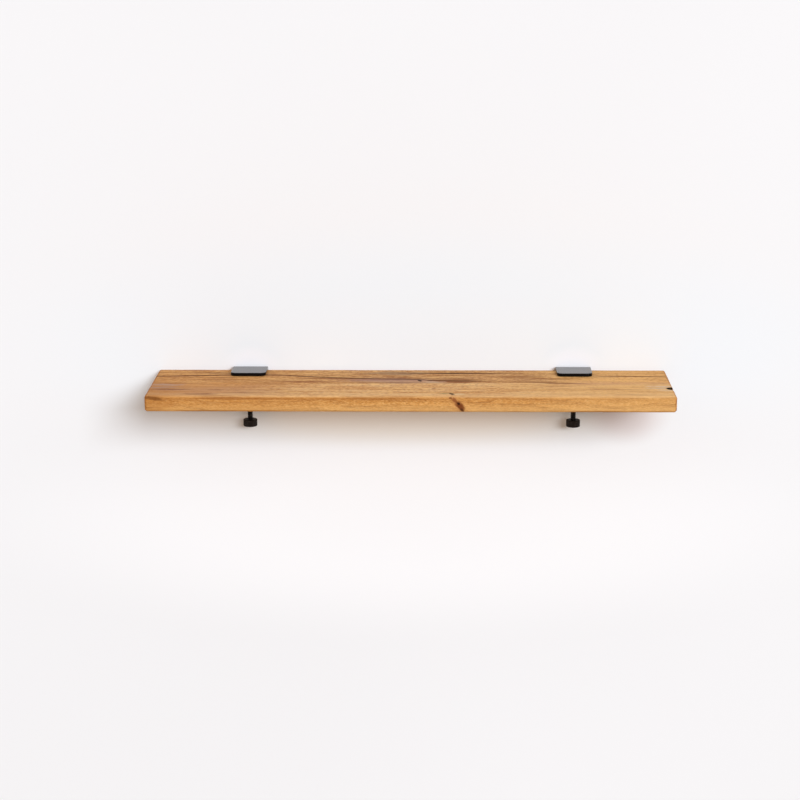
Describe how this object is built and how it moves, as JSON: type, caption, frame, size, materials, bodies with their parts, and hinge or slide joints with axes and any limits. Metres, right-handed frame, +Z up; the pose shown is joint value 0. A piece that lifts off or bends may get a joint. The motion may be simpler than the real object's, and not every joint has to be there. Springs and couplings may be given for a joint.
{
  "type": "bracket wall shelf",
  "caption": "Solid timber wall shelf gripped along its back edge by bent black steel clamp brackets, each tightened by a knurled thumbscrew with a swivelling thrust pad.",
  "frame": {"origin": "on the wall plane, midway between the two brackets, level with the top face of the board", "axes": "+X along the shelf to the viewer's right, +Y into the wall, +Z up"},
  "size_m": [0.8, 0.2256, 0.091],
  "materials": {
    "timber": "sanded and oiled",
    "bracket_coat": "satin black powder coat",
    "black_thread": "black oxide, rolled thread",
    "black_knurl": "black oxide, knurled",
    "pad_steel": "black oxide, turned",
    "ring_steel": "bright spring wire",
    "screw_zinc": "zinc plated"
  },
  "bodies": {
    "brackets": {"clamp_bracket_left": "bracket_coat", "clamp_bracket_right": "bracket_coat", "wall_screw_left_a": "screw_zinc", "wall_screw_left_b": "screw_zinc", "wall_screw_right_a": "screw_zinc", "wall_screw_right_b": "screw_zinc"},
    "board": {"shelf_board": "timber"},
    "pad_left": {"thrust_pad_left": "pad_steel", "snap_ring_left": "ring_steel"},
    "pad_right": {"thrust_pad_right": "pad_steel", "snap_ring_right": "ring_steel"},
    "thumbscrew_left": {"thumbscrew_stud_left": "black_thread", "thumbscrew_knob_left": "black_knurl"},
    "thumbscrew_right": {"thumbscrew_stud_right": "black_thread", "thumbscrew_knob_right": "black_knurl"}
  },
  "joints": [
    {"name": "board_draw", "type": "slide", "parent": "brackets", "child": "board", "axis": [0, -1, 0], "range_m": [0, 0.055]},
    {"name": "pad_travel_left", "type": "slide", "parent": "brackets", "child": "pad_left", "axis": [0, 0, 1], "range_m": [-0.015, 0]},
    {"name": "pad_travel_right", "type": "slide", "parent": "brackets", "child": "pad_right", "axis": [0, 0, 1], "range_m": [-0.015, 0]},
    {"name": "thumbscrew_turn_left", "type": "hinge", "parent": "pad_left", "child": "thumbscrew_left", "pos_m": [-0.255, -0.0295, -0.07], "axis": [0, 0, 1], "range_deg": [-4320, 0]},
    {"name": "thumbscrew_turn_right", "type": "hinge", "parent": "pad_right", "child": "thumbscrew_right", "pos_m": [0.255, -0.0295, -0.07], "axis": [0, 0, 1], "range_deg": [-4320, 0]}
  ],
  "couplings": [
    {"joint": "thumbscrew_turn_left", "follows": "pad_travel_left", "rad_per_m": 5026.5},
    {"joint": "thumbscrew_turn_right", "follows": "pad_travel_right", "rad_per_m": 5026.5}
  ]
}
